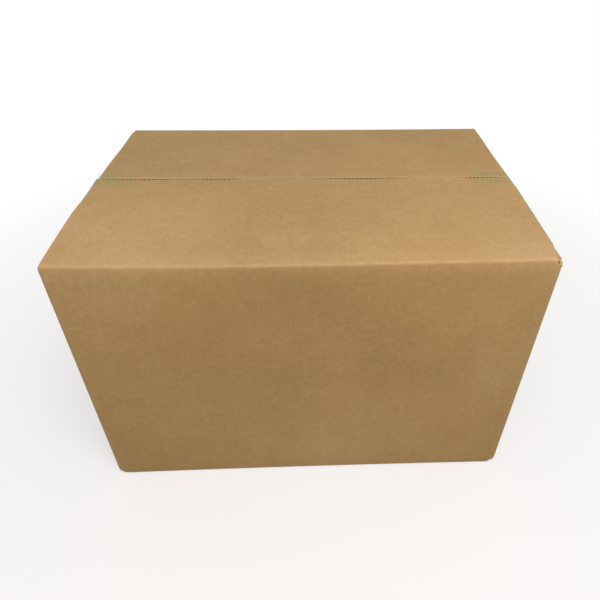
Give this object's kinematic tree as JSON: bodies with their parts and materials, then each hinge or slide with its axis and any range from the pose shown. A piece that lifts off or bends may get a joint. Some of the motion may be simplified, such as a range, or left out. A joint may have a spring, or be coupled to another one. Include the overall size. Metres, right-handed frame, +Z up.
{
  "type": "closed cardboard box",
  "caption": "Closed corrugated cardboard shipping box with flaps folded over a central top seam, held by clear tape along the seams above and below.",
  "frame": {"origin": "middle of the face that the box stands on", "axes": "+X along the length, to the right seen from the front; +Y from the front panel to the back; +Z up"},
  "size_m": [0.6062, 0.406, 0.4177],
  "materials": {
    "kraft_board": "matt brown kraft paper faces with fine fibre and a very faint ribbing along the flutes",
    "clear_tape": "thin clear glossy packing film with a faint greenish yellow cast and fine lengthwise streaks"
  },
  "bodies": {
    "root": {"carton": "kraft_board", "top_tape": "clear_tape", "bottom_tape": "clear_tape"}
  },
  "joints": []
}
